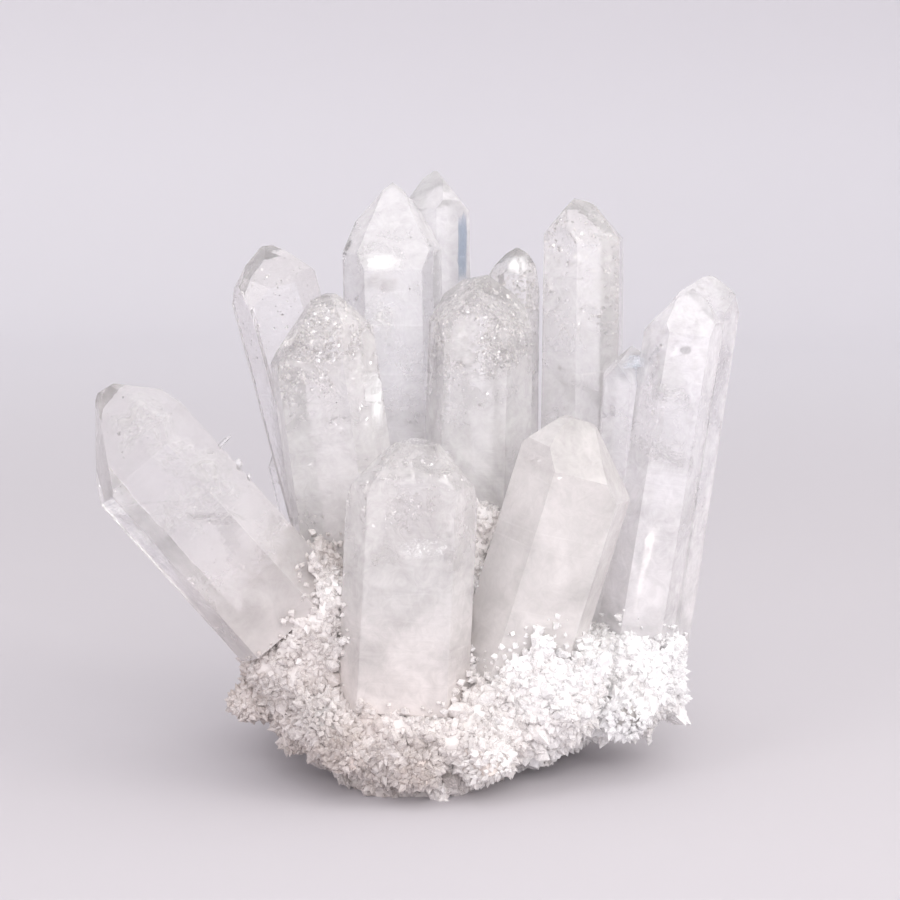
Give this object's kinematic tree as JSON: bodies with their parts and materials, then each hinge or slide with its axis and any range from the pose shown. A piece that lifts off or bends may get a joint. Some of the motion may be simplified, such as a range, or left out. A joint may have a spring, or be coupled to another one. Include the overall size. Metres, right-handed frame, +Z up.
{
  "type": "quartz crystal cluster",
  "caption": "Natural cluster of clear six-sided quartz points fanning out of a crust of small sugary crystals.",
  "frame": {"origin": "on the resting plane, under the middle of the whole cluster", "axes": "+Z up, +X to the right of the fan, -Y towards the side that the shorter front crystals face"},
  "size_m": [0.0894, 0.0658, 0.083],
  "materials": {
    "quartz": "clear, glossy natural crystal faces with inner veils",
    "milky_quartz": "milky, glossy natural crystal faces",
    "druse": "crust of tiny sparkling crystals, sugary white to pinkish tan"
  },
  "bodies": {
    "root": {"crystal_back_left": "quartz", "crystal_back_point": "quartz", "crystal_back_right": "quartz", "crystal_center": "quartz", "crystal_far_left": "quartz", "crystal_front_center": "quartz", "crystal_front_left": "quartz", "crystal_front_right": "milky_quartz", "crystal_low_left": "quartz", "crystal_low_right": "quartz", "crystal_rear_center": "quartz", "crystal_rear_left": "quartz", "crystal_rear_right": "quartz", "crystal_right": "quartz", "crystal_tall": "quartz", "druse_crust": "druse", "rim_point_back": "quartz", "rim_point_back_left": "quartz", "rim_point_front": "quartz", "rim_point_front_left": "quartz", "rim_point_front_right": "quartz", "rim_point_left": "quartz", "rim_point_right": "quartz"}
  },
  "joints": []
}
